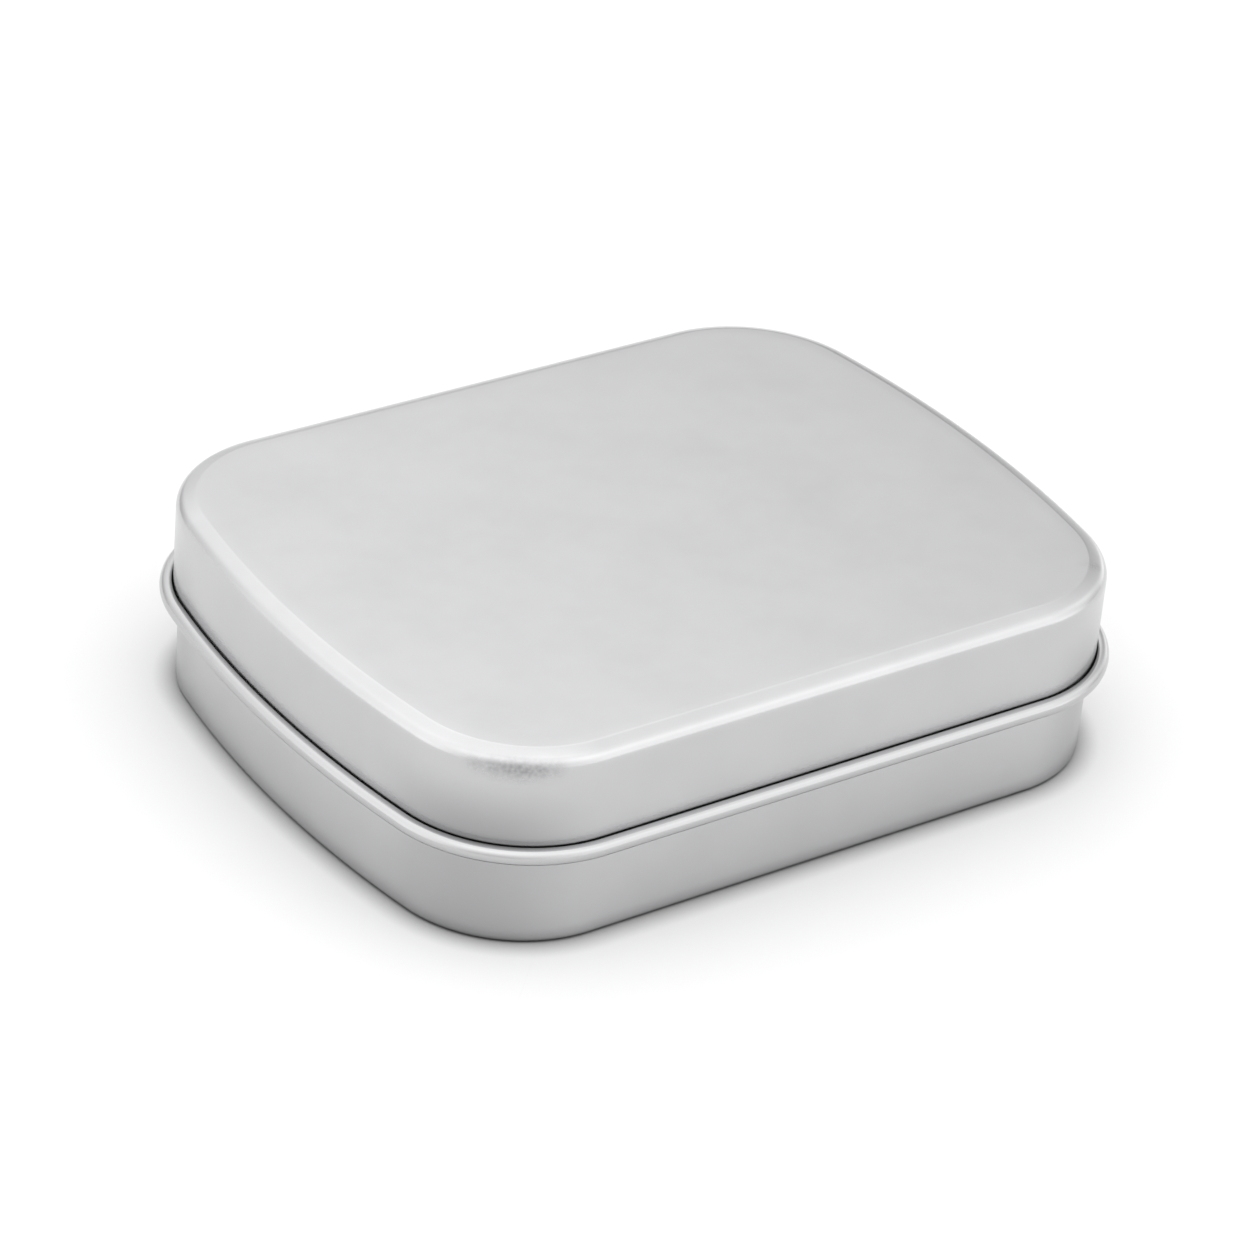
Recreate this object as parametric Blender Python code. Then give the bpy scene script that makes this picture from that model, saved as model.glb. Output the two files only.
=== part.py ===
"""Small hinged tinplate tin: a drawn lid, a drawn base and the steel wire that the lid turns on.

Metres, +Z up. The origin is under the middle of the tin, on the surface that it stands on.
+X runs along the long sides, and the hinge is on the +Y side.
Both shells are one sheet: a skin is drawn along a section, and its thickness is put on inwards.
"""
import math

import bmesh
import bpy

# Whole tin
lid_length = 0.060          # over the lid's end walls, at their furthest out
lid_width = 0.047           # over the lid's long walls, which are straight
height = 0.01515            # lid shut, from the table to the top of the lid
sheet = 0.00023             # tinplate thickness
corner_radius = 0.01015     # plan radius of the lid's corners
end_radius = 0.092          # plan radius of the gently bowed ends

# Lid
lid_depth = 0.00815         # from the top of the lid down to the underside of its curled edge
shoulder_radius = 0.00128   # between the top and the walls
curl_turn = 298.0           # degrees that the edge is rolled outwards, until it nearly meets the wall

# Base
neck_height = 0.0040        # how far the base rises inside the lid, above the hinge axis
foot_radius = 0.00035       # between the bottom and the walls
rim_bore = 0.00022          # inner radius of the safe edge, which is rolled inwards
rim_turn = 265.0            # degrees
slide_gap = 0.00004         # least gap of the lid's front edge to the base while it swings

# Hinge
wire_diameter = 0.00064
wire_gap = 0.00005          # running clearance of the wire, all round
wire_end_margin = 0.0009    # from the end of the straight part of the wall to the wire's end
ear_width = 0.0070          # each tongue of the base's rear wall
ear_margin = 0.0033         # from the end of the straight part of the wall to the ear
ear_turn = 280.0            # degrees that an ear goes round the wire
ear_bend_radius = 0.0002    # where an ear leaves the wall
ear_side_gap = 0.0003       # between an ear and the notch in the lid's curl
ear_swing_gap = 0.00033     # between an ear and the top edge of its notch, as the lid turns

# Facets
corner_steps = 12
end_steps = 6
curl_steps = 13
round_steps = 8
bend_steps = 4
wire_sides = 24
smooth_angle = math.radians(35)

# What follows from these
curl_bore = wire_diameter / 2 + wire_gap
curl_radius = curl_bore + sheet
half_length = lid_length / 2
half_width = lid_width / 2
axis_y = half_width + curl_bore
axis_z = height - lid_depth + curl_radius
rim_radius = rim_bore + sheet
rim_top = axis_z + neck_height

# The lid's front edge moves back a little on its arc before it clears the base's rim
front_reach = axis_y + half_width - sheet
swing_rise = neck_height - rim_radius
swing_shift = front_reach - math.sqrt(front_reach ** 2 - swing_rise ** 2)
base_inset = sheet + slide_gap + swing_shift

# Corner arcs run into the end arcs and into the straight long sides
end_angle = math.asin((half_width - corner_radius) / (end_radius - corner_radius))
end_centre_x = half_length - end_radius
corner_x = end_centre_x + (end_radius - corner_radius) * math.cos(end_angle)
corner_y = half_width - corner_radius

ear_outer_x = corner_x - ear_margin
ear_inner_x = ear_outer_x - ear_width
notch_rise = math.sqrt((curl_radius + ear_swing_gap) ** 2 - curl_bore ** 2)


def arc(centre, radius, start, turn, steps):
    """Points on an arc, without its first one. Angles are in degrees."""
    angles = [math.radians(start + turn * step / steps) for step in range(1, steps + 1)]
    return [(centre[0] + radius * math.cos(a), centre[1] + radius * math.sin(a)) for a in angles]


def plan_loop(inset, rear_stops):
    """The lid's plan outline moved inwards by inset, anticlockwise, with stops on its rear side."""
    end = math.degrees(end_angle)
    corner = 90.0 - end
    bow = end_radius - inset
    bend = corner_radius - inset
    loop = arc((end_centre_x, 0.0), bow, -end, 2 * end, end_steps)
    loop += arc((corner_x, corner_y), bend, end, corner, corner_steps)
    loop += [(x, half_width - inset) for x in sorted(rear_stops, reverse=True)]
    loop += [(-corner_x, half_width - inset)]
    loop += arc((-corner_x, corner_y), bend, 90.0, corner, corner_steps)
    loop += arc((-end_centre_x, 0.0), bow, 180.0 - end, 2 * end, end_steps)
    loop += arc((-corner_x, -corner_y), bend, 180.0 + end, corner, corner_steps)
    loop += [(corner_x, inset - half_width)]
    loop += arc((corner_x, -corner_y), bend, 270.0, corner, corner_steps)
    return loop


def mirrored(*stops):
    return [side * x for side in (-1, 1) for x in stops]


def extrude_edges(bm, edges):
    """Extrudes a run of edges and returns its new vertices and its new far edges."""
    made = bmesh.ops.extrude_edge_only(bm, edges=edges)["geom"]
    verts = {item for item in made if isinstance(item, bmesh.types.BMVert)}
    far = [item for item in made if isinstance(item, bmesh.types.BMEdge)
           and verts.issuperset(item.verts)]
    return verts, far


def draw_shell(section, rear_stops):
    """A flat panel on the section's first point, its edge extruded through the rest of them.

    A section point is (out, z): out is measured from the lid's wall, and outwards is positive.
    Each vertex remembers its place in the plan, so every extruded edge loop can be set by it.
    """
    bm = bmesh.new()
    place = bm.verts.layers.int.new("place")
    loops = [[(x, y, z) for x, y in plan_loop(-out, rear_stops)] for out, z in section]
    corners = [bm.verts.new(co) for co in loops[0]]
    for number, vert in enumerate(corners):
        vert[place] = number
    panel = bm.faces.new(corners)
    edges = list(panel.edges)
    for loop in loops[1:]:
        verts, edges = extrude_edges(bm, edges)
        for vert in verts:
            vert.co = loop[vert[place]]
    bmesh.ops.recalc_face_normals(bm, faces=bm.faces)
    return bm


def rear_faces(bm, low, high, inner_x, outer_x):
    """Faces behind the rear wall's inner side, between two heights and within the ears' width."""
    found = []
    for face in bm.faces:
        middle = face.calc_center_median()
        behind = middle.y > half_width - base_inset - sheet
        if behind and low < middle.z < high and inner_x < abs(middle.x) < outer_x:
            found.append(face)
    return found


def add_sheet_object(name, bm, panel_up, colour, roughness):
    """Links the skin as an object, points it outwards, and puts the sheet's thickness on inwards."""
    panel = max(bm.faces, key=lambda face: face.calc_area())
    if (panel.normal.z > 0) != panel_up:
        bmesh.ops.reverse_faces(bm, faces=bm.faces)
    mesh = bpy.data.meshes.new(name)
    bm.to_mesh(mesh)
    bm.free()
    mesh.shade_smooth()
    mesh.set_sharp_from_angle(angle=smooth_angle)
    thing = bpy.data.objects.new(name, mesh)
    bpy.context.scene.collection.objects.link(thing)
    thicken = thing.modifiers.new("tinplate", "SOLIDIFY")
    thicken.thickness = sheet
    thicken.offset = -1.0
    thicken.use_even_offset = True
    thicken.use_quality_normals = True
    mesh.materials.append(metal(name, colour, roughness))
    return thing


def metal(name, colour, roughness):
    material = bpy.data.materials.new(name)
    material.use_nodes = True
    shader = material.node_tree.nodes["Principled BSDF"]
    shader.inputs["Base Color"].default_value = (*colour, 1.0)
    shader.inputs["Metallic"].default_value = 1.0
    shader.inputs["Roughness"].default_value = roughness
    return material


def make_lid():
    """Top panel, rounded shoulder and wall, with the edge rolled outwards round the wire's bore.

    The rolled edge is cut away in two notches at the rear, where the base's ears go round the wire.
    """
    shoulder = (-shoulder_radius, height - shoulder_radius)
    section = [(-shoulder_radius, height)]
    section += arc(shoulder, shoulder_radius, 90.0, -90.0, round_steps)
    section += [(0.0, axis_z + notch_rise), (0.0, axis_z)]
    section += arc((curl_bore, axis_z), curl_bore, 180.0, curl_turn, curl_steps)
    notch_inner = ear_inner_x - ear_side_gap
    notch_outer = ear_outer_x + ear_side_gap
    bm = draw_shell(section, mirrored(notch_inner, notch_outer))
    cut = rear_faces(bm, axis_z - curl_radius, axis_z + notch_rise, notch_inner, notch_outer)
    bmesh.ops.delete(bm, geom=cut, context="FACES")
    return bm


def ear_section():
    """The wall's outer face bent outwards, run under the hinge wire and rolled up round it."""
    wall = -base_inset
    under = axis_z - curl_radius
    path = arc((wall + ear_bend_radius, under - ear_bend_radius), ear_bend_radius, 180.0, -90.0, bend_steps)
    path += [(curl_bore, under)]
    path += arc((curl_bore, axis_z), curl_radius, 270.0, ear_turn, curl_steps)
    return path


def make_base():
    """Flat bottom, rounded foot and wall, with a safe edge rolled inwards at the rim.

    Each ear is lanced from the rear wall: the window over it is as tall as the ear is long.
    """
    ear_root = axis_z - curl_radius - ear_bend_radius
    middle_radius = curl_radius - sheet / 2
    ear_length = (ear_bend_radius + sheet / 2) * math.pi / 2
    ear_length += base_inset - ear_bend_radius + curl_bore + middle_radius * math.radians(ear_turn)
    window_top = ear_root + ear_length
    foot = (-base_inset - foot_radius, foot_radius)
    roll = (-base_inset - rim_radius, rim_top - rim_radius)
    section = [(-base_inset - foot_radius, 0.0)]
    section += arc(foot, foot_radius, -90.0, 90.0, round_steps)
    section += [(-base_inset, ear_root), (-base_inset, window_top)]
    section += [(-base_inset, rim_top - rim_radius)]
    section += arc(roll, rim_radius, 0.0, rim_turn, curl_steps)
    bm = draw_shell(section, mirrored(ear_inner_x, ear_outer_x))
    windows = rear_faces(bm, ear_root, window_top, ear_inner_x, ear_outer_x)
    roots = [edge for face in windows for edge in face.edges
             if max(vert.co.z for vert in edge.verts) < ear_root + sheet / 2]
    bmesh.ops.delete(bm, geom=windows, context="FACES_KEEP_BOUNDARY")
    return bm, roots


def roll_ears(bm, roots):
    """Extrudes the lower edge of each window along the ear's section."""
    edges = roots
    for out, z in ear_section():
        verts, edges = extrude_edges(bm, edges)
        for vert in verts:
            vert.co.y = half_width + out
            vert.co.z = z
    bmesh.ops.recalc_face_normals(bm, faces=bm.faces)


def make_wire():
    """Straight steel wire in the bore of the lid's rear curl and of the ears."""
    bpy.ops.mesh.primitive_cylinder_add(
        vertices=wire_sides, radius=wire_diameter / 2, depth=2 * (corner_x - wire_end_margin),
        location=(0.0, axis_y, axis_z), rotation=(0.0, math.pi / 2, 0.0))
    wire = bpy.context.object
    wire.name = "hinge_wire"
    wire.data.shade_smooth()
    wire.data.set_sharp_from_angle(angle=smooth_angle)
    wire.data.materials.append(metal("hinge_wire", (0.42, 0.42, 0.43), 0.35))
    return wire


def hang_on_hinge(*things):
    """Parents the turning pieces to an empty on the hinge axis."""
    hinge = bpy.data.objects.new("lid_hinge", None)
    hinge.location = (0.0, axis_y, axis_z)
    bpy.context.scene.collection.objects.link(hinge)
    bpy.context.view_layer.update()
    for thing in things:
        thing.parent = hinge
        thing.matrix_parent_inverse = hinge.matrix_world.inverted()


for old in list(bpy.data.objects):
    bpy.data.objects.remove(old)

lid = add_sheet_object("lid", make_lid(), True, (0.64, 0.64, 0.65), 0.32)
base_skin, ear_roots = make_base()
roll_ears(base_skin, ear_roots)
base = add_sheet_object("base", base_skin, False, (0.60, 0.60, 0.61), 0.34)
hang_on_hinge(lid, make_wire())
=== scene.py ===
import math

import bpy
import numpy as np
from mathutils import Matrix


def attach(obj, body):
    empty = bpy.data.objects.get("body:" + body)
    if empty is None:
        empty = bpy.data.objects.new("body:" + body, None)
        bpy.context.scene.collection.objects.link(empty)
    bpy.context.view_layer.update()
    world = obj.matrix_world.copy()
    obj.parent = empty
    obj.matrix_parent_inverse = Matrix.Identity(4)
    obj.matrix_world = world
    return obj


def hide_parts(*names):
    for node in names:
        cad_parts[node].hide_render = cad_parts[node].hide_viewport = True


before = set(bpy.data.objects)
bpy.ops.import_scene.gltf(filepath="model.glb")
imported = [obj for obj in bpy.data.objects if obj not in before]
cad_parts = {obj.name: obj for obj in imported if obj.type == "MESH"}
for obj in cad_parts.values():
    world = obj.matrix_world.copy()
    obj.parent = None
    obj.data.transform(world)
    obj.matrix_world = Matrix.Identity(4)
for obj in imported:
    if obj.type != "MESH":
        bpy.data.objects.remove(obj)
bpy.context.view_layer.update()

mm = 0.001

# Sizes are in mm and angles in degrees. They are the same as in the CAD model, apart from the shoulder,
# the foot and the slight unevenness of the flats.
tin = {
    "length": 60.0,             # over the lid's end walls, at their furthest out
    "width": 47.0,              # over the lid's long walls
    "height": 15.15,
    "cornerRadius": 10.15,
    "endRadius": 92.0,          # the short ends are gently bowed
    "sheet": 0.23,              # thickness of the tinplate
    "boreRadius": 0.37,         # inside the lid's rolled edge and inside the ears
    "hingeHeight": 7.60,        # middle of the rolled edge and of the wire
    "earInner": 8.454,          # the ears' sides, from the middle of the tin
    "earOuter": 15.454,
    "cornerSteps": 40,
    "endSteps": 36,
    "sideStep": 1.0,            # mm between points along the straight sides
    "drawnAndShadedX": (18.0, 26.0),     # from the middle of the tin, where the drawn corners with their painted shade begin and are full
    "drawnAndShadedY": (10.5, 19.5),
    "edgeSegments": 2,
    "edgeAngle": 50.0,          # edges that turn by more than this are broken
    "sharpAngle": 28.0,         # and edges that turn by more than this are shaded as edges
    # Long sines that a panel waves by: turns along x and y in radians per mm, phase and strength
    "waves": [
        (0.21, 0.13, 0.6, 1.0),
        (-0.17, 0.31, 2.1, 0.7),
        (0.43, 0.09, 4.0, 0.5),
    ],
}


def arcPoints(centre, radius, start, turn, steps):
    # An arc after its first point: centre plus radius times the unit vector at each angle
    angle = np.radians(start + turn * np.arange(1, steps + 1) / steps)
    return np.column_stack([centre[0] + radius * np.cos(angle), centre[1] + radius * np.sin(angle)])


def straightPoints(start, end, steps):
    # A straight line after its first point, in equal steps
    share = np.arange(1, steps + 1)[:, None] / steps
    return np.array(start) + share * (np.array(end) - np.array(start))


def arcStretch(centreX, centreY, radius, first, last, steps):
    # Part of the outline: the normal is the unit vector at each angle, and the point is the centre plus
    # the radius times the normal
    angle = np.radians(first + (last - first) * np.arange(steps) / steps)
    normals = np.column_stack([np.cos(angle), np.sin(angle)])
    return np.array([centreX, centreY]) + radius * normals, normals


def sideStretch(stops, y):
    # A straight side: x goes from stop to stop in even steps of about sideStep, y stays
    runs = [np.linspace(a, b, max(1, round(abs(b - a) / tin["sideStep"])), endpoint=False)
            for a, b in zip(stops[:-1], stops[1:])]
    x = np.concatenate(runs)
    return np.column_stack([x, np.full_like(x, y)]), np.tile([0.0, math.copysign(1.0, y)], (len(x), 1))


def planOutline(rearStops):
    # The lid's wall seen from above, anticlockwise, as points and outward normals. Moving every point
    # along its normal gives the true outline at any distance from the wall.
    halfLength, halfWidth = tin["length"] / 2, tin["width"] / 2
    corner, bow = tin["cornerRadius"], tin["endRadius"]
    cornerY = halfWidth - corner
    bowAngle = math.degrees(math.asin(cornerY / (bow - corner)))
    bowX = halfLength - bow
    cornerX = bowX + (bow - corner) * math.cos(math.radians(bowAngle))
    rear = [cornerX, *sorted([*rearStops, *(-stop for stop in rearStops)], reverse=True), -cornerX]
    cornerSteps, endSteps = tin["cornerSteps"], tin["endSteps"]
    stretches = [
        arcStretch(bowX, 0.0, bow, -bowAngle, bowAngle, endSteps),
        arcStretch(cornerX, cornerY, corner, bowAngle, 90.0, cornerSteps),
        sideStretch(rear, halfWidth),
        arcStretch(-cornerX, cornerY, corner, 90.0, 180.0 - bowAngle, cornerSteps),
        arcStretch(-bowX, 0.0, bow, 180.0 - bowAngle, 180.0 + bowAngle, endSteps),
        arcStretch(-cornerX, -cornerY, corner, 180.0 + bowAngle, 270.0, cornerSteps),
        sideStretch([-cornerX, cornerX], -halfWidth),
        arcStretch(cornerX, -cornerY, corner, 270.0, 360.0 - bowAngle, cornerSteps),
    ]
    return np.vstack([points for points, normals in stretches]), np.vstack([n for p, n in stretches])


def drawnGrid(outline, section, rings):
    # A sheet drawn from a flat panel. Its first rows are the panel's outline times a share from 0 to 1,
    # at the section's first height. The other rows carry the section round the outline: the point is
    # the outline plus out times its normal, at height z. Also gives each point's place in the flat blank,
    # which goes on outwards by the length of the section.
    points, normals = outline
    out, z = section[:, 0], section[:, 1]
    share = (np.arange(1, rings) / rings)[:, None, None]
    edge = points + out[0] * normals
    panel = np.concatenate([share * edge, np.full((rings - 1, len(points), 1), z[0])], axis=2)
    walls = points + out[:, None, None] * normals
    walls = np.concatenate([walls, np.broadcast_to(z[:, None, None], (len(z), len(points), 1))], axis=2)
    along = np.concatenate([[0.0], np.cumsum(np.hypot(np.diff(out), np.diff(z)))])
    blank = np.concatenate([share * edge, edge + along[:, None, None] * normals])
    return np.concatenate([panel, walls]), blank


def gridQuads(index, closed, flip):
    # Four neighbours on a grid of point numbers make a face. Closed grids join their last column to the
    # first.
    if closed:
        index = np.hstack([index, index[:, :1]])
    quads = np.stack([index[:-1, :-1], index[1:, :-1], index[1:, 1:], index[:-1, 1:]], axis=-1)
    return quads[..., ::-1] if flip else quads


def sheetObject(name, points, faces, attributes, materials, edgeRound):
    # Puts the arrays into a mesh, gives the sheet its thickness inwards, breaks its raw edges,
    # and keeps the finished mesh. The second material is for the raw edges.
    mesh = bpy.data.meshes.new(name)
    mesh.from_pydata((points * mm).tolist(), [], faces)
    for key, values in attributes.items():
        vector = values.ndim == 2
        layer = mesh.attributes.new(key, "FLOAT_VECTOR" if vector else "FLOAT", "POINT")
        layer.data.foreach_set("vector" if vector else "value", values.ravel())
    for material in materials:
        mesh.materials.append(material)
    piece = bpy.data.objects.new(name, mesh)
    bpy.context.scene.collection.objects.link(piece)
    thicken = piece.modifiers.new("tinplate", "SOLIDIFY")
    thicken.thickness = tin["sheet"] * mm
    thicken.offset = -1.0
    thicken.use_even_offset = True
    thicken.use_quality_normals = True
    thicken.material_offset_rim = 1
    soften = piece.modifiers.new("raw edges", "BEVEL")
    soften.width = edgeRound * mm
    soften.segments = tin["edgeSegments"]
    soften.limit_method = "ANGLE"
    soften.angle_limit = math.radians(tin["edgeAngle"])
    finished = bpy.data.meshes.new_from_object(piece.evaluated_get(bpy.context.evaluated_depsgraph_get()))
    piece.modifiers.clear()
    piece.data = finished
    bpy.data.meshes.remove(mesh)
    finished.name = name
    finished.shade_smooth()
    finished.set_sharp_from_angle(angle=math.radians(tin["sharpAngle"]))
    return piece


def linear(code):
    # An sRGB hex colour as linear RGBA
    channels = np.array([int(code[k:k + 2], 16) for k in (1, 3, 5)]) / 255
    return (*np.where(channels <= 0.04045, channels / 12.92, ((channels + 0.055) / 1.055) ** 2.4), 1.0)


def addNode(tree, kind, settings=(), values=(), links=()):
    # One node: settings are its own properties, values go to its sockets, links come from other sockets
    node = tree.nodes.new(kind)
    for key, value in dict(settings).items():
        setattr(node, key, value)
    for key, value in dict(values).items():
        node.inputs[key].default_value = value
    for key, socket in dict(links).items():
        tree.links.new(socket, node.inputs[key])
    return node


def newMaterial(name, sockets):
    material = bpy.data.materials.new(name)
    material.use_nodes = True
    shader = material.node_tree.nodes["Principled BSDF"]
    for key, value in sockets.items():
        shader.inputs[key].default_value = value
    return material, material.node_tree, shader


tinplateLook = {
    "colour": "#C4C4C5",
    "dulled": "#BCBCBD",        # where hands and other tins have dulled it
    "scuffed": "#7C7C7E",
    "cornerShadeColour": "#A0A0A1",   # painted shade: the corners' walls darker, more so further down
    "curledDullAndShadedColour": "#BBBBBC",  # the rolled edges darker: partly duller worked metal, partly painted shade
    "creaseShade": "#5E5E5E",         # painted shade: dark colour in the crease over the bead, fading up the wall
    "roughness": 0.235,
    "grainPitch": 0.16,         # mm across the rolling grain; really about 0.05, drawn coarser to show
    "grainLength": 7.0,         # mm along it
    "grainDepth": 0.00012,      # mm
    "mottlePitch": 0.30,        # mm, the roll's shot-blasted bite
    "mottleDepth": 0.0008,
    "handlingSize": 9.0,        # mm, faint cloudy patches
    "cloudFrom": 0.40,          # values of the clouds' noise where dulling begins and is full
    "cloudTo": 0.75,
    "cloudShare": 0.60,         # how far full dulling goes towards the dulled colour
    # What each adds to the roughness
    "grainRoughness": 0.015,    # up and down
    "cloudRoughness": 0.014,
    "rubRoughness": -0.04,
    "drawnRoughness": 0.005,
    "scuffRoughness": 0.25,
}


def flowMeltedTinplate(name, look):
    # Tinplate: cold-rolled steel sheet with an electrolytic coat of tin that was melted bright over a
    # shot-blasted roll finish. It gives the eye a pale, soft satin reflection with a faint straight grain.
    # Drawing roughens the corners slightly, forming polishes the shoulder and the bead. Shade is painted
    # into the colour on the corners, on the rolled edges and in the crease over the bead.
    material, tree, shader = newMaterial(name, {"Metallic": 1.0})
    blank = addNode(tree, "ShaderNodeAttribute", {"attribute_name": "blank"})
    rub = addNode(tree, "ShaderNodeAttribute", {"attribute_name": "rub"})
    drawn = addNode(tree, "ShaderNodeAttribute", {"attribute_name": "drawn"})
    scuff = addNode(tree, "ShaderNodeAttribute", {"attribute_name": "scuff"})
    curledDullAndShaded = addNode(tree, "ShaderNodeAttribute", {"attribute_name": "curledDullAndShaded"})
    creaseShade = addNode(tree, "ShaderNodeAttribute", {"attribute_name": "creaseShade"})
    lengthwise = addNode(tree, "ShaderNodeMapping",
                         values={"Scale": (1 / look["grainLength"], 1 / look["grainPitch"], 1.0)},
                         links={"Vector": blank.outputs["Vector"]})
    grain = addNode(tree, "ShaderNodeTexNoise", values={"Scale": 1.0, "Detail": 2.0},
                    links={"Vector": lengthwise.outputs[0]})
    mottle = addNode(tree, "ShaderNodeTexNoise", values={"Scale": 1 / look["mottlePitch"], "Detail": 3.0},
                     links={"Vector": blank.outputs["Vector"]})
    clouds = addNode(tree, "ShaderNodeTexNoise",
                     values={"Scale": 1 / look["handlingSize"], "Detail": 4.0, "Roughness": 0.62},
                     links={"Vector": blank.outputs["Vector"]})
    # Colour: clean tin, dulled by the clouds, then scuffed, then painted shade on the corners, then darker
    # rolled edges (duller metal and painted shade), then painted shade in the crease
    cloudy = addNode(tree, "ShaderNodeMapRange",
                     values={"From Min": look["cloudFrom"], "From Max": look["cloudTo"],
                             "To Min": 0.0, "To Max": look["cloudShare"]},
                     links={"Value": clouds.outputs["Fac"]})
    dulled = addNode(tree, "ShaderNodeMix", {"data_type": "RGBA"},
                     {"A": linear(look["colour"]), "B": linear(look["dulled"])},
                     {"Factor": cloudy.outputs["Result"]})
    speckle = addNode(tree, "ShaderNodeMath", {"operation": "MULTIPLY"},
                      links={0: scuff.outputs["Fac"], 1: mottle.outputs["Fac"]})
    scuffed = addNode(tree, "ShaderNodeMix", {"data_type": "RGBA"}, {"B": linear(look["scuffed"])},
                      {"Factor": speckle.outputs[0], "A": dulled.outputs["Result"]})
    # painted shade: darker colour on the corners
    cornerShaded = addNode(tree, "ShaderNodeMix", {"data_type": "RGBA"}, {"B": linear(look["cornerShadeColour"])},
                       {"Factor": drawn.outputs["Fac"], "A": scuffed.outputs["Result"]})
    # on the rolled edges, partly duller worked metal, partly painted shade
    rolledDullAndShaded = addNode(tree, "ShaderNodeMix", {"data_type": "RGBA"}, {"B": linear(look["curledDullAndShadedColour"])},
                     {"Factor": curledDullAndShaded.outputs["Fac"], "A": cornerShaded.outputs["Result"]})
    # painted shade: dark colour in the crease over the bead
    creaseShaded = addNode(tree, "ShaderNodeMix", {"data_type": "RGBA"}, {"B": linear(look["creaseShade"])},
                    {"Factor": creaseShade.outputs["Fac"], "A": rolledDullAndShaded.outputs["Result"]})
    tree.links.new(creaseShaded.outputs["Result"], shader.inputs["Base Color"])
    # Roughness: the grain and the clouds vary it, rubbing lowers it, drawing and scuffs raise it
    low, high = look["roughness"] - look["grainRoughness"], look["roughness"] + look["grainRoughness"]
    grained = addNode(tree, "ShaderNodeMapRange",
                      values={"From Min": 0.3, "From Max": 0.7, "To Min": low, "To Max": high},
                      links={"Value": grain.outputs["Fac"]})
    clouded = addNode(tree, "ShaderNodeMath", {"operation": "MULTIPLY_ADD"}, {1: look["cloudRoughness"]},
                      {0: cloudy.outputs["Result"], 2: grained.outputs["Result"]})
    rubbed = addNode(tree, "ShaderNodeMath", {"operation": "MULTIPLY_ADD"}, {1: look["rubRoughness"]},
                     {0: rub.outputs["Fac"], 2: clouded.outputs[0]})
    roughened = addNode(tree, "ShaderNodeMath", {"operation": "MULTIPLY_ADD"}, {1: look["drawnRoughness"]},
                        {0: drawn.outputs["Fac"], 2: rubbed.outputs[0]})
    worn = addNode(tree, "ShaderNodeMath", {"operation": "MULTIPLY_ADD"}, {1: look["scuffRoughness"]},
                   {0: speckle.outputs[0], 2: roughened.outputs[0]})
    tree.links.new(worn.outputs[0], shader.inputs["Roughness"])
    # Relief: grain, then the roll's bite
    grainBump = addNode(tree, "ShaderNodeBump", values={"Distance": look["grainDepth"] * mm},
                        links={"Height": grain.outputs["Fac"]})
    mottleBump = addNode(tree, "ShaderNodeBump", values={"Distance": look["mottleDepth"] * mm},
                         links={"Height": mottle.outputs["Fac"], "Normal": grainBump.outputs["Normal"]})
    tree.links.new(mottleBump.outputs["Normal"], shader.inputs["Normal"])
    return material


edgeLook = {
    "colour": "#9C9B99",
    "smeared": "#BDBDBE",       # tin that the shear dragged over the steel
    "roughness": 0.42,
    "roughnessSpread": 0.08,    # up and down
    "scorePitch": 0.06,         # mm between the shear's score marks
}


def shearedSteelEdge(look):
    # The cut edge of the sheet: steel sheared in a blanking die, its upper half burnished and smeared with
    # tin. It gives the eye a thin duller line, scored across.
    material, tree, shader = newMaterial("sheared steel edge", {"Metallic": 1.0})
    place = addNode(tree, "ShaderNodeTexCoord")
    scale = 1 / (look["scorePitch"] * mm)
    scores = addNode(tree, "ShaderNodeTexNoise", values={"Scale": scale, "Detail": 1.0},
                     links={"Vector": place.outputs["Object"]})
    colour = addNode(tree, "ShaderNodeMix", {"data_type": "RGBA"},
                     {"A": linear(look["colour"]), "B": linear(look["smeared"])},
                     {"Factor": scores.outputs["Fac"]})
    low, high = look["roughness"] - look["roughnessSpread"], look["roughness"] + look["roughnessSpread"]
    rough = addNode(tree, "ShaderNodeMapRange", values={"To Min": low, "To Max": high},
                    links={"Value": scores.outputs["Fac"]})
    tree.links.new(colour.outputs["Result"], shader.inputs["Base Color"])
    tree.links.new(rough.outputs["Result"], shader.inputs["Roughness"])
    return material


tinplate = flowMeltedTinplate("flow-melted tinplate", tinplateLook)
cutEdge = shearedSteelEdge(edgeLook)
print("tinplate materials made")


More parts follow.
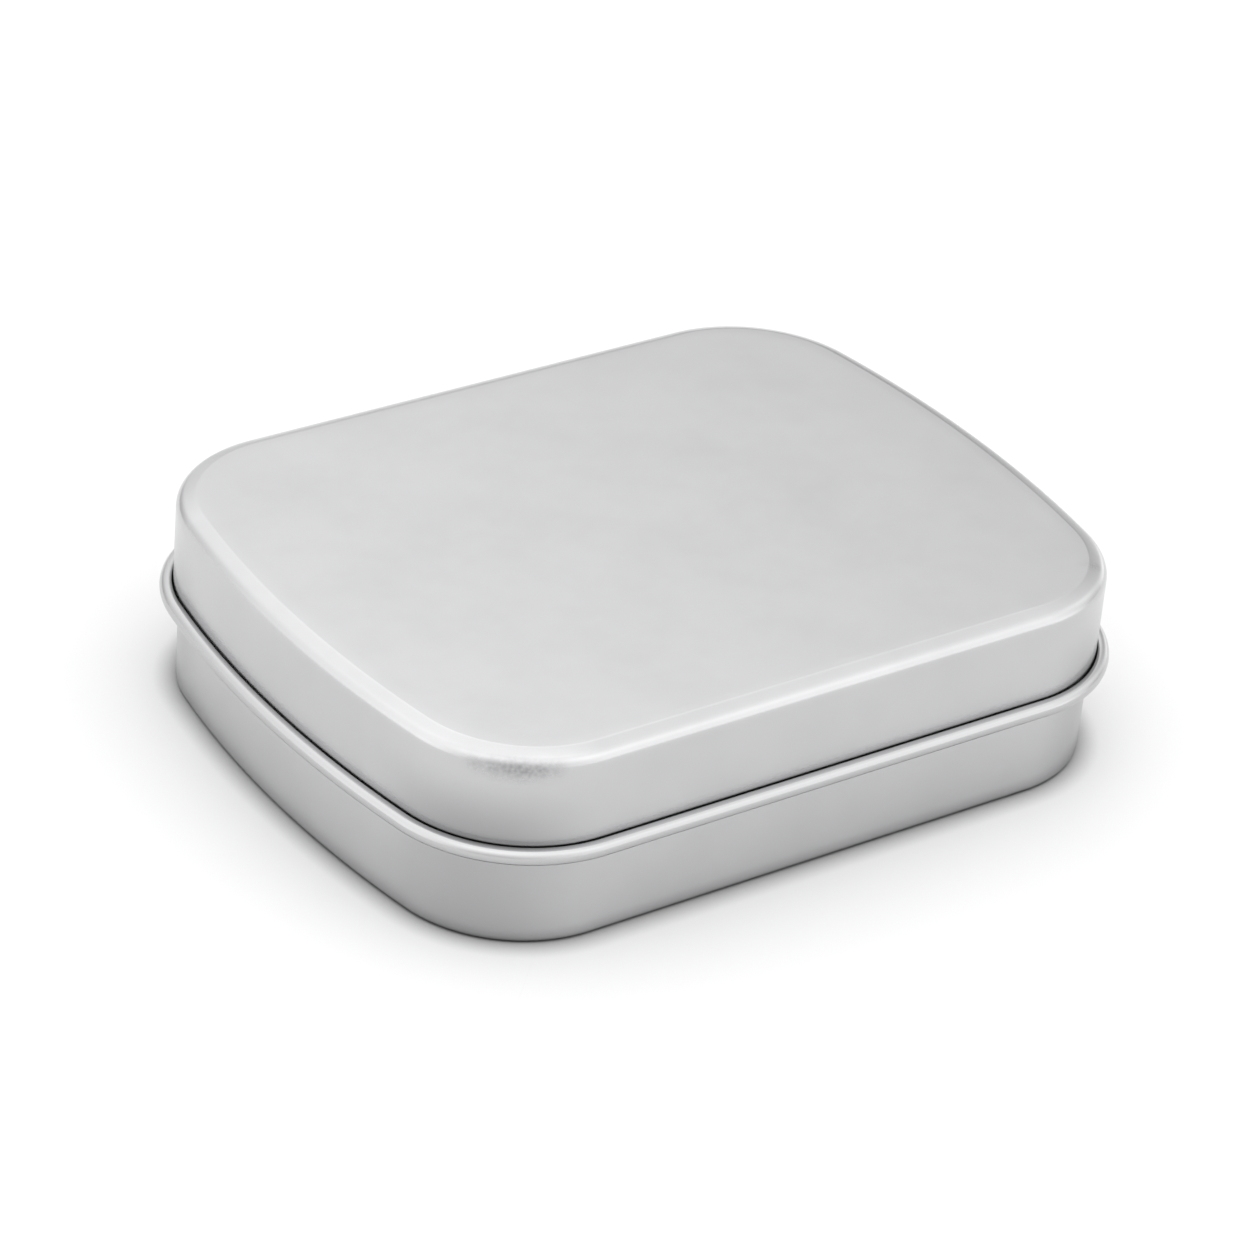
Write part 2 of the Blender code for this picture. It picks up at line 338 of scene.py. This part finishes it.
lidShape = {
    "shoulderWidth": 1.45,      # from the flat of the top to the wall, seen from above
    "breakRadius": 0.60,        # where the flat turns down into the shoulder's shallow part
    "shallowFrom": 15.0,        # degrees of tilt of the shallow part, at its inner and outer end
    "shallowTo": 21.0,
    "roundRadius": 0.94,        # from the shallow part down into the wall
    "curlTurn": 298.0,
    "creaseShadeReach": 0.38,         # mm up the wall from the crease, to where the painted crease shade is down to 1/e
    "creaseShadeShare": 0.45,
    "notchRise": 0.853,         # the notches' top edge, over the hinge line
    "notchGap": 0.30,           # at each side of an ear
    "rings": 28,
    "breakSteps": 4,
    "shallowSteps": 5,
    "roundSteps": 14,
    "wallSteps": 10,
    "notchSteps": 3,
    "curlSteps": 36,
    "edgeRound": 0.03,
    "dish": 0.03,               # how far the middle of the top lies below its edge
    "wave": 0.012,              # unevenness of the top
    "rubRow": 8,                # rows past the edge of the top, where it is rubbed brightest
    "rubSpread": 5.0,           # rows from there to where the rub is down to 1/e
    "curlRub": 0.6,             # rub on the rolled edge
    "curlRows": 3.0,            # rows over which the rolled edge's look, its darker colour with painted shade, sets in
    "drawnFrom": 1.5,           # under the top, where the drawn look and the painted shade of the corners begin and are full
    "drawnAndShadedTo": 6.5,
    # Scuffs: middle, size in mm and strength
    "scuffs": [
        (-26.7, -19.5, 14.1, 0.4, 0.5),
        (-25.9, -20.4, 14.15, 0.45, 0.8),
        (-25.1, -21.2, 14.15, 0.45, 1.0),
        (-24.3, -21.8, 14.15, 0.45, 1.0),
        (-23.4, -22.4, 14.2, 0.4, 0.9),
        (-22.4, -22.8, 14.3, 0.4, 0.5),
        (-25.7, 20.8, 12.4, 0.5, 0.7),
        (25.6, -19.5, 15.1, 0.35, 0.6),
    ],
}


def smoothStep(low, high, value):
    share = np.clip((value - low) / (high - low), 0.0, 1.0)
    return share * share * (3.0 - 2.0 * share)


def cornerShare(points):
    # 1 on the drawn corners, where shade is painted, and 0 on the straight sides and bowed ends, from the
    # distance past each
    x, y = np.abs(points[..., 0]), np.abs(points[..., 1])
    return smoothStep(*tin["drawnAndShadedX"], x) * smoothStep(*tin["drawnAndShadedY"], y)


def scuffMarks(points, marks):
    # Each mark is a bell curve of the distance from its middle
    total = np.zeros(points.shape[:-1])
    for x, y, z, size, strength in marks:
        square = ((points - np.array([x, y, z])) ** 2).sum(axis=-1)
        total += strength * np.exp(-square / (2 * size * size))
    return np.clip(total, 0.0, 1.0)


def panelRelief(points, edgeShare, dish, wave):
    # A pressed panel is never quite flat. It sinks by a dish that is 0 with no slope at its edge, and
    # waves by a few long sines of x and y that fade out towards the edge.
    x, y = points[..., 0], points[..., 1]
    hold = (1.0 - edgeShare ** 2) ** 2
    waves = sum(strength * np.sin(alongX * x + alongY * y + phase)
                for alongX, alongY, phase, strength in tin["waves"])
    total = sum(strength for alongX, alongY, phase, strength in tin["waves"])
    return hold * (wave * waves / total - dish)


def shoulderSection():
    # Three arcs in a row, each going on with the tilt that the last one ended with. A point is the arc's
    # centre plus its radius times (sine, cosine) of the tilt. The shallow arc's radius makes up the width.
    first, last = math.radians(lidShape["shallowFrom"]), math.radians(lidShape["shallowTo"])
    broken, rounded = lidShape["breakRadius"], lidShape["roundRadius"]
    left = lidShape["shoulderWidth"] - broken * math.sin(first) - rounded * (1.0 - math.sin(last))
    shallow = left / (math.sin(last) - math.sin(first))
    point, section = np.array([-lidShape["shoulderWidth"], tin["height"]]), []
    tilt = 0.0
    arcs = (
        (broken, first, lidShape["breakSteps"]),
        (shallow, last, lidShape["shallowSteps"]),
        (rounded, math.pi / 2, lidShape["roundSteps"]),
    )
    for radius, end, steps in arcs:
        centre = point - radius * np.array([math.sin(tilt), math.cos(tilt)])
        start, turn = 90.0 - math.degrees(tilt), math.degrees(tilt - end)
        section.append(arcPoints(centre, radius, start, turn, steps))
        point, tilt = section[-1][-1], end
    return np.vstack(section)


def makeLid():
    # The section goes from the edge of the top over the shoulder, down the wall, and out and up round
    # the bore. Faces in the two notches behind the ears are left out.
    bore, hinge = tin["boreRadius"], tin["hingeHeight"]
    top = tin["height"]
    shoulder = shoulderSection()
    notchTop = hinge + lidShape["notchRise"]
    section = np.vstack([
        [[-lidShape["shoulderWidth"], top]],
        shoulder,
        straightPoints(shoulder[-1], (0.0, notchTop), lidShape["wallSteps"]),
        straightPoints((0.0, notchTop), (0.0, hinge), lidShape["notchSteps"]),
        arcPoints((bore, hinge), bore, 180.0, lidShape["curlTurn"], lidShape["curlSteps"]),
    ])
    inner = tin["earInner"] - lidShape["notchGap"]
    outer = tin["earOuter"] + lidShape["notchGap"]
    outline = planOutline([inner, outer])
    points, blank = drawnGrid(outline, section, lidShape["rings"])
    rings = lidShape["rings"]
    share = np.minimum(np.arange(1, len(points) + 1) / rings, 1.0)[:, None]
    points[..., 2] += panelRelief(points, share, lidShape["dish"], lidShape["wave"])
    index = np.arange(points[..., 0].size).reshape(points.shape[:2])
    quads = gridQuads(index, True, False)
    middle = (points + np.roll(points, -1, axis=1))[:-1] / 2
    firstNotchRow = rings - 1 + len(shoulder) + lidShape["wallSteps"]
    notch = (middle[..., 1] > tin["width"] / 2 - 0.1) & (np.abs(middle[..., 0]) > inner) \
        & (np.abs(middle[..., 0]) < outer) & (np.arange(len(middle))[:, None] >= firstNotchRow)
    pole = np.array([[0.0, 0.0, top + panelRelief(np.zeros(3), 0.0, lidShape["dish"], lidShape["wave"])]])
    fan = np.column_stack([np.full(index.shape[1], index.size), index[0], np.roll(index[0], -1)])
    faces = quads[~notch].tolist() + fan.tolist()
    flat = np.vstack([points.reshape(-1, 3), pole])
    rows = np.arange(len(points))[:, None]
    curlRow = firstNotchRow + lidShape["notchSteps"]
    curledRows = np.clip((rows - curlRow) / lidShape["curlRows"], 0.0, 1.0)
    rubbedRows = np.exp(-((rows - rings - lidShape["rubRow"]) / lidShape["rubSpread"]) ** 2)
    rubbedRows = rubbedRows + lidShape["curlRub"] * curledRows
    # Painted shade: the wall is darkened just above the crease over the bead, fading upwards
    creaseTop = hinge + bore + tin["sheet"] / 2
    above = np.maximum(points[..., 2] - creaseTop, 0.0) / lidShape["creaseShadeReach"]
    creaseShade = lidShape["creaseShadeShare"] * np.exp(-above) * (rows > rings) * (1.0 - curledRows)
    # Painted shade on the corners' walls, fuller further down; the same mask roughens them slightly
    drawnAndShadedHeights = top - lidShape["drawnFrom"], top - lidShape["drawnAndShadedTo"]
    corners = cornerShare(points) * smoothStep(*drawnAndShadedHeights, points[..., 2])
    flatBlank = np.column_stack([blank.reshape(-1, 2), np.zeros(index.size)])
    attributes = {
        "blank": np.vstack([flatBlank, np.zeros((1, 3))]),
        "rub": np.append(np.broadcast_to(rubbedRows, index.shape).ravel(), 0.0),
        "curledDullAndShaded": np.append(np.broadcast_to(curledRows, index.shape).ravel(), 0.0),
        "drawn": np.append(corners.ravel(), 0.0),
        "creaseShade": np.append(creaseShade.ravel(), 0.0),
        "scuff": scuffMarks(flat, lidShape["scuffs"]),
    }
    return sheetObject("tin_lid", flat, faces, attributes, (tinplate, cutEdge), lidShape["edgeRound"])


lid = makeLid()
print("lid made:", len(lid.data.polygons), "faces")


baseShape = {
    "inset": 0.404,             # of the wall, from the lid's wall
    "footRadius": 0.50,
    "rimRadius": 0.45,          # of the edge that is rolled inwards
    "rimTurn": 265.0,
    "neck": 4.0,                # from the hinge line up to the rim
    "earBend": 0.20,            # radius where an ear leaves the wall
    "earTurn": 280.0,
    "rings": 28,
    "footSteps": 10,
    "lowerSteps": 10,
    "windowSteps": 6,
    "upperSteps": 2,
    "rimSteps": 24,
    "earSteps": 36,
    "edgeRound": 0.03,
    "dish": 0.05,               # how far the middle of the bottom lies above the table
    "wave": 0.012,
    "rubRow": 4,                # rows past the edge of the bottom, where it is rubbed brightest
    "rubSpread": 5.0,
    "drawnAndShadedShare": 0.7,          # of the lid's drawn look and painted corner shade, on the base's corners
    "scuffs": [(29.0, -19.0, 2.0, 0.8, 0.8)],
}


def earSection():
    # Out and height from the wall: a quarter turn outwards, straight on under the wire, then round it
    under = tin["hingeHeight"] - tin["boreRadius"] - tin["sheet"]
    bend, bore = baseShape["earBend"], tin["boreRadius"]
    wall = -baseShape["inset"]
    return np.vstack([
        arcPoints((wall + bend, under - bend), bend, 180.0, -90.0, 6),
        straightPoints((wall + bend, under), (bore, under), 3),
        arcPoints((bore, tin["hingeHeight"]), bore + tin["sheet"], 270.0, baseShape["earTurn"],
                  baseShape["earSteps"]),
    ])


def makeBase():
    # The section goes from the edge of the bottom round the foot, up the wall, and in and down round
    # the rim. Faces of the two windows are left out, and each window's lower edge is carried on as an ear.
    inset, foot, rim = baseShape["inset"], baseShape["footRadius"], baseShape["rimRadius"]
    earRoot = tin["hingeHeight"] - tin["boreRadius"] - tin["sheet"] - baseShape["earBend"]
    ear = earSection()
    skinLength = np.hypot(*np.diff(np.vstack([[[-inset, earRoot]], ear]), axis=0).T).sum()
    earLength = skinLength - tin["sheet"] / 2 * math.radians(baseShape["earTurn"] - 90.0)
    windowTop = earRoot + earLength
    rimTop = tin["hingeHeight"] + baseShape["neck"]
    section = np.vstack([
        [[-inset - foot, 0.0]],
        arcPoints((-inset - foot, foot), foot, -90.0, 90.0, baseShape["footSteps"]),
        straightPoints((-inset, foot), (-inset, earRoot), baseShape["lowerSteps"]),
        straightPoints((-inset, earRoot), (-inset, windowTop), baseShape["windowSteps"]),
        straightPoints((-inset, windowTop), (-inset, rimTop - rim), baseShape["upperSteps"]),
        arcPoints((-inset - rim, rimTop - rim), rim, 0.0, baseShape["rimTurn"], baseShape["rimSteps"]),
    ])
    inner, outer = tin["earInner"], tin["earOuter"]
    points, blank = drawnGrid(planOutline([inner, outer]), section, baseShape["rings"])
    rings = baseShape["rings"]
    share = np.minimum(np.arange(1, len(points) + 1) / rings, 1.0)[:, None]
    points[..., 2] -= panelRelief(points, share, baseShape["dish"], baseShape["wave"])
    index = np.arange(points[..., 0].size).reshape(points.shape[:2])
    quads = gridQuads(index, True, True)
    middle = (points + np.roll(points, -1, axis=1))[:-1] / 2
    firstRow = rings - 1 + baseShape["footSteps"] + baseShape["lowerSteps"]
    row = np.arange(len(middle))[:, None]
    behind = (middle[..., 1] > tin["width"] / 2 - inset - 0.1) & (np.abs(middle[..., 0]) > inner) \
        & (np.abs(middle[..., 0]) < outer)
    window = behind & (row >= firstRow) & (row < firstRow + baseShape["windowSteps"])
    pole = np.array([[0.0, 0.0, -panelRelief(np.zeros(3), 0.0, baseShape["dish"], baseShape["wave"])]])
    fan = np.column_stack([index[0], np.full(index.shape[1], index.size), np.roll(index[0], -1)])
    faces = quads[~window].tolist() + fan.tolist()
    flat = [points.reshape(-1, 3), pole]
    flatBlank = [blank.reshape(-1, 2), np.zeros((1, 2))]
    count = index.size + 1
    for side in (-1, 1):
        along = side * points[firstRow, :, 0]
        within = (along > inner - 1e-6) & (along < outer + 1e-6)
        root = index[firstRow][(points[firstRow, :, 1] > 0) & within]
        x = points.reshape(-1, 3)[root, 0]
        tongue = np.stack([np.broadcast_to(x, (len(ear), len(x))),
                           np.broadcast_to(tin["width"] / 2 + ear[:, :1], (len(ear), len(x))),
                           np.broadcast_to(ear[:, 1:], (len(ear), len(x)))], axis=-1)
        numbers = np.vstack([root, count + np.arange(tongue[..., 0].size).reshape(tongue.shape[:2])])
        faces += gridQuads(numbers, False, True).reshape(-1, 4).tolist()
        flat.append(tongue.reshape(-1, 3))
        flatBlank.append(tongue[..., [0, 2]].reshape(-1, 2))
        count += tongue[..., 0].size
    flat, flatBlank = np.vstack(flat), np.vstack(flatBlank)
    rows = np.arange(len(points))[:, None]
    rubbedRows = np.exp(-((rows - rings - baseShape["rubRow"]) / baseShape["rubSpread"]) ** 2)
    rubbed = np.broadcast_to(rubbedRows, index.shape).ravel()
    # the rim and the ears: darker colour, partly duller worked metal, partly painted shade
    rolledDullAndShaded = np.broadcast_to(rows > len(points) - baseShape["rimSteps"], index.shape).ravel()
    # painted shade on the base's corners, which the same mask roughens slightly
    corners = (baseShape["drawnAndShadedShare"] * cornerShare(points) * (rows > rings)).ravel()
    rest = np.zeros(len(flat) - index.size)
    attributes = {
        "blank": np.column_stack([flatBlank, np.zeros(len(flatBlank))]),
        "rub": np.concatenate([rubbed, rest]),
        "curledDullAndShaded": np.concatenate([rolledDullAndShaded, rest + 1.0]),
        "drawn": np.concatenate([corners, rest]),
        "scuff": scuffMarks(flat, baseShape["scuffs"]),
    }
    return sheetObject("tin_base", flat, faces, attributes, (tinplate, cutEdge), baseShape["edgeRound"])


base = makeBase()
print("base made:", len(base.data.polygons), "faces")


wireShape = {
    "radius": 0.32,
    "halfLength": 17.854,
    "chamfer": 0.06,
    "sides": 48,
    "steps": 60,
}

wireLook = {
    "colour": "#A3A3A4",
    "streak": "#8B8B8D",
    "roughness": 0.34,
    "roughnessSpread": 0.06,    # up and down
    "linePitch": 0.05,          # mm between the die lines
    "lineLength": 5.0,
    "lineDepth": 0.001,         # mm
}


def drawnSteelWire(look):
    # Bright mild-steel wire, pulled through a die. It gives the eye a greyer sheen than the tin, with
    # fine straight lines along its length.
    material, tree, shader = newMaterial("drawn steel wire", {"Metallic": 1.0})
    place = addNode(tree, "ShaderNodeTexCoord")
    scale = (1 / (look["lineLength"] * mm), 1 / (look["linePitch"] * mm), 1 / (look["linePitch"] * mm))
    lengthwise = addNode(tree, "ShaderNodeMapping", values={"Scale": scale},
                         links={"Vector": place.outputs["Object"]})
    lines = addNode(tree, "ShaderNodeTexNoise", values={"Scale": 1.0, "Detail": 2.0},
                    links={"Vector": lengthwise.outputs[0]})
    colour = addNode(tree, "ShaderNodeMix", {"data_type": "RGBA"},
                     {"A": linear(look["colour"]), "B": linear(look["streak"])},
                     {"Factor": lines.outputs["Fac"]})
    low, high = look["roughness"] - look["roughnessSpread"], look["roughness"] + look["roughnessSpread"]
    rough = addNode(tree, "ShaderNodeMapRange", values={"To Min": low, "To Max": high},
                    links={"Value": lines.outputs["Fac"]})
    relief = addNode(tree, "ShaderNodeBump", values={"Distance": look["lineDepth"] * mm},
                     links={"Height": lines.outputs["Fac"]})
    tree.links.new(colour.outputs["Result"], shader.inputs["Base Color"])
    tree.links.new(rough.outputs["Result"], shader.inputs["Roughness"])
    tree.links.new(relief.outputs["Normal"], shader.inputs["Normal"])
    return material


def makeWire():
    # A round bar: at each x the radius is the wire's, less the chamfer at the two ends, and the angle goes
    # once round the hinge line. The ends are closed by a point in the middle.
    half, radius, chamfer = wireShape["halfLength"], wireShape["radius"], wireShape["chamfer"]
    x = np.concatenate([[-half], np.linspace(chamfer - half, half - chamfer, wireShape["steps"]), [half]])
    size = np.full(len(x), radius)
    size[[0, -1]] -= chamfer
    angle = np.linspace(0.0, 2 * math.pi, wireShape["sides"], endpoint=False)
    centre = (tin["width"] / 2 + tin["boreRadius"], tin["hingeHeight"])
    rings = np.stack([np.broadcast_to(x[:, None], (len(x), len(angle))),
                      centre[0] + size[:, None] * np.cos(angle),
                      centre[1] + size[:, None] * np.sin(angle)], axis=-1)
    index = np.arange(rings[..., 0].size).reshape(rings.shape[:2])
    ends = np.array([[-half, *centre], [half, *centre]])
    left = np.column_stack([np.full(len(angle), index.size), np.roll(index[0], -1), index[0]])
    right = np.column_stack([np.full(len(angle), index.size + 1), index[-1], np.roll(index[-1], -1)])
    faces = gridQuads(index, True, True).reshape(-1, 4).tolist() + left.tolist() + right.tolist()
    mesh = bpy.data.meshes.new("hinge_wire_bar")
    mesh.from_pydata((np.vstack([rings.reshape(-1, 3), ends]) * mm).tolist(), [], faces)
    mesh.shade_smooth()
    mesh.set_sharp_from_angle(angle=math.radians(28))
    mesh.materials.append(drawnSteelWire(wireLook))
    piece = bpy.data.objects.new("hinge_wire_bar", mesh)
    bpy.context.scene.collection.objects.link(piece)
    return piece


wire = makeWire()
print("hinge wire made:", len(wire.data.polygons), "faces")

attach(lid, "lid")
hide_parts("lid")
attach(base, "base")
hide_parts("base")
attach(wire, "lid")
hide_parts("hinge_wire")


studio = {
    "floorColour": "#E1E1E1",
    "paintedShadowReach": 1.8,        # mm from the tin within which a contact shadow is painted on the board
    "paintedShadowPower": 1.0,
    "floorSize": 3.0,           # m, half its width
    "floorDrop": 1e-5,          # m, how far it lies under the tin
    "backdrop": 0.97,           # what the camera sees past the floor
    # Soft boxes: direction from the tin (0 is +X, 90 is +Y) and elevation, the angle from its middle at
    # which a box is down to half its brightness, and its brightness
    "boxes": [
        (27, 75, 16.4, 0.95),
        (306, 47, 20.6, 0.88),
        (217, 64, 31.9, 1.37),
        (56, 43, 15.1, 1.38),
        (22, 0, 15.1, 1.56),
        (280, 0, 44.7, 1.21),
        (158, 0, 44.7, 1.56),
        (121, 43, 22.4, 0.57),
        (324, 0, 22.9, 0.99),
        (1, 36, 20.1, 1.12),
        (87, 30, 15.3, 0.59),
        (69, 7, 15.1, 0.74),
        (100, 58, 15.1, 0.53),
    ],
}


def makeFloor():
    # A flat square of matt white board, just under the tin, with a painted contact shadow: close to the
    # tin its colour is multiplied by the share of the half space over it that is open within the given
    # reach, to the given power.
    size = studio["floorSize"]
    mesh = bpy.data.meshes.new("floor")
    low = -studio["floorDrop"]
    corners = [(-size, -size, low), (size, -size, low), (size, size, low), (-size, size, low)]
    mesh.from_pydata(corners, [], [(0, 1, 2, 3)])
    material, tree, shader = newMaterial("matt white board", {
        "Base Color": linear(studio["floorColour"]), "Roughness": 0.9, "Specular IOR Level": 0.2})
    # painted contact shadow: the board's colour darkened near the tin by ambient occlusion
    openShare = addNode(tree, "ShaderNodeAmbientOcclusion", {"samples": 4},
                        {"Distance": studio["paintedShadowReach"] * mm})
    share = addNode(tree, "ShaderNodeMath", {"operation": "POWER"}, {1: studio["paintedShadowPower"]},
                    {0: openShare.outputs["AO"]})
    shadowPaintedBoard = addNode(tree, "ShaderNodeVectorMath", {"operation": "SCALE"},
                    {0: linear(studio["floorColour"])[:3]}, {"Scale": share.outputs[0]})
    tree.links.new(shadowPaintedBoard.outputs[0], shader.inputs["Base Color"])
    mesh.materials.append(material)
    floor = bpy.data.objects.new("floor", mesh)
    bpy.context.scene.collection.objects.link(floor)


def makeSky():
    # The studio's light: a dark room with soft boxes. Each adds its brightness times e to the power of
    # k (c - 1), where c is the cosine between the direction looked in and the box's own, and k makes it
    # half as bright at the box's given angle.
    world = bpy.data.worlds.new("studio sky")
    bpy.context.scene.world = world
    world.use_nodes = True
    tree = world.node_tree
    background = tree.nodes["Background"]
    background.inputs["Color"].default_value = (1.0, 1.0, 1.0, 1.0)
    place = addNode(tree, "ShaderNodeTexCoord")
    total = 0.0
    for azimuth, elevation, spread, brightness in studio["boxes"]:
        a, e = math.radians(azimuth), math.radians(elevation)
        direction = (math.cos(a) * math.cos(e), math.sin(a) * math.cos(e), math.sin(e))
        k = math.log(2.0) / (1.0 - math.cos(math.radians(spread)))
        cosine = addNode(tree, "ShaderNodeVectorMath", {"operation": "DOT_PRODUCT"}, {1: direction},
                         {0: place.outputs["Generated"]})
        power = addNode(tree, "ShaderNodeMath", {"operation": "MULTIPLY_ADD"}, {1: k, 2: -k},
                        {0: cosine.outputs["Value"]})
        glow = addNode(tree, "ShaderNodeMath", {"operation": "EXPONENT"}, links={0: power.outputs[0]})
        lit = addNode(tree, "ShaderNodeMath", {"operation": "MULTIPLY_ADD"}, {1: brightness, 2: 0.0},
                      {0: glow.outputs[0]})
        if total:
            tree.links.new(total, lit.inputs[2])
        total = lit.outputs[0]
    path = addNode(tree, "ShaderNodeLightPath")
    shown = addNode(tree, "ShaderNodeMix", {"data_type": "FLOAT"}, {"B": studio["backdrop"]},
                    {"Factor": path.outputs["Is Camera Ray"], "A": total})
    tree.links.new(shown.outputs["Result"], background.inputs["Strength"])


cameraPlace = {
    "azimuth": -36.858,         # degrees round the tin, 0 looks along +Y
    "elevation": 31.309,
    "roll": 5.188,
    "distance": 363.03,         # mm from the point that it is aimed at
    "aim": (-1.158, -0.699, 7.131),
    "lens": 145.59,             # mm, on a 36 mm sensor
}


def makeCamera():
    # Looks at the aim from the given angles: the camera's axes are right, up and back, turned by the roll
    a, e, roll = (math.radians(cameraPlace[key]) for key in ("azimuth", "elevation", "roll"))
    back = np.array([math.sin(a) * math.cos(e), -math.cos(a) * math.cos(e), math.sin(e)])
    right = np.array([math.cos(a), math.sin(a), 0.0])
    up = np.cross(back, right)
    axes = np.column_stack([math.cos(roll) * right + math.sin(roll) * up,
                            math.cos(roll) * up - math.sin(roll) * right, back])
    data = bpy.data.cameras.new("camera")
    data.sensor_width = 36.0
    data.lens = cameraPlace["lens"]
    data.clip_start = 0.01
    camera = bpy.data.objects.new("camera", data)
    place = Matrix(axes.tolist()).to_4x4()
    place.translation = (np.array(cameraPlace["aim"]) + cameraPlace["distance"] * back) * mm
    camera.matrix_world = place
    bpy.context.scene.collection.objects.link(camera)
    bpy.context.scene.camera = camera


makeFloor()
makeSky()
makeCamera()
bpy.context.scene.view_settings.view_transform = "Standard"
print("studio and camera made")
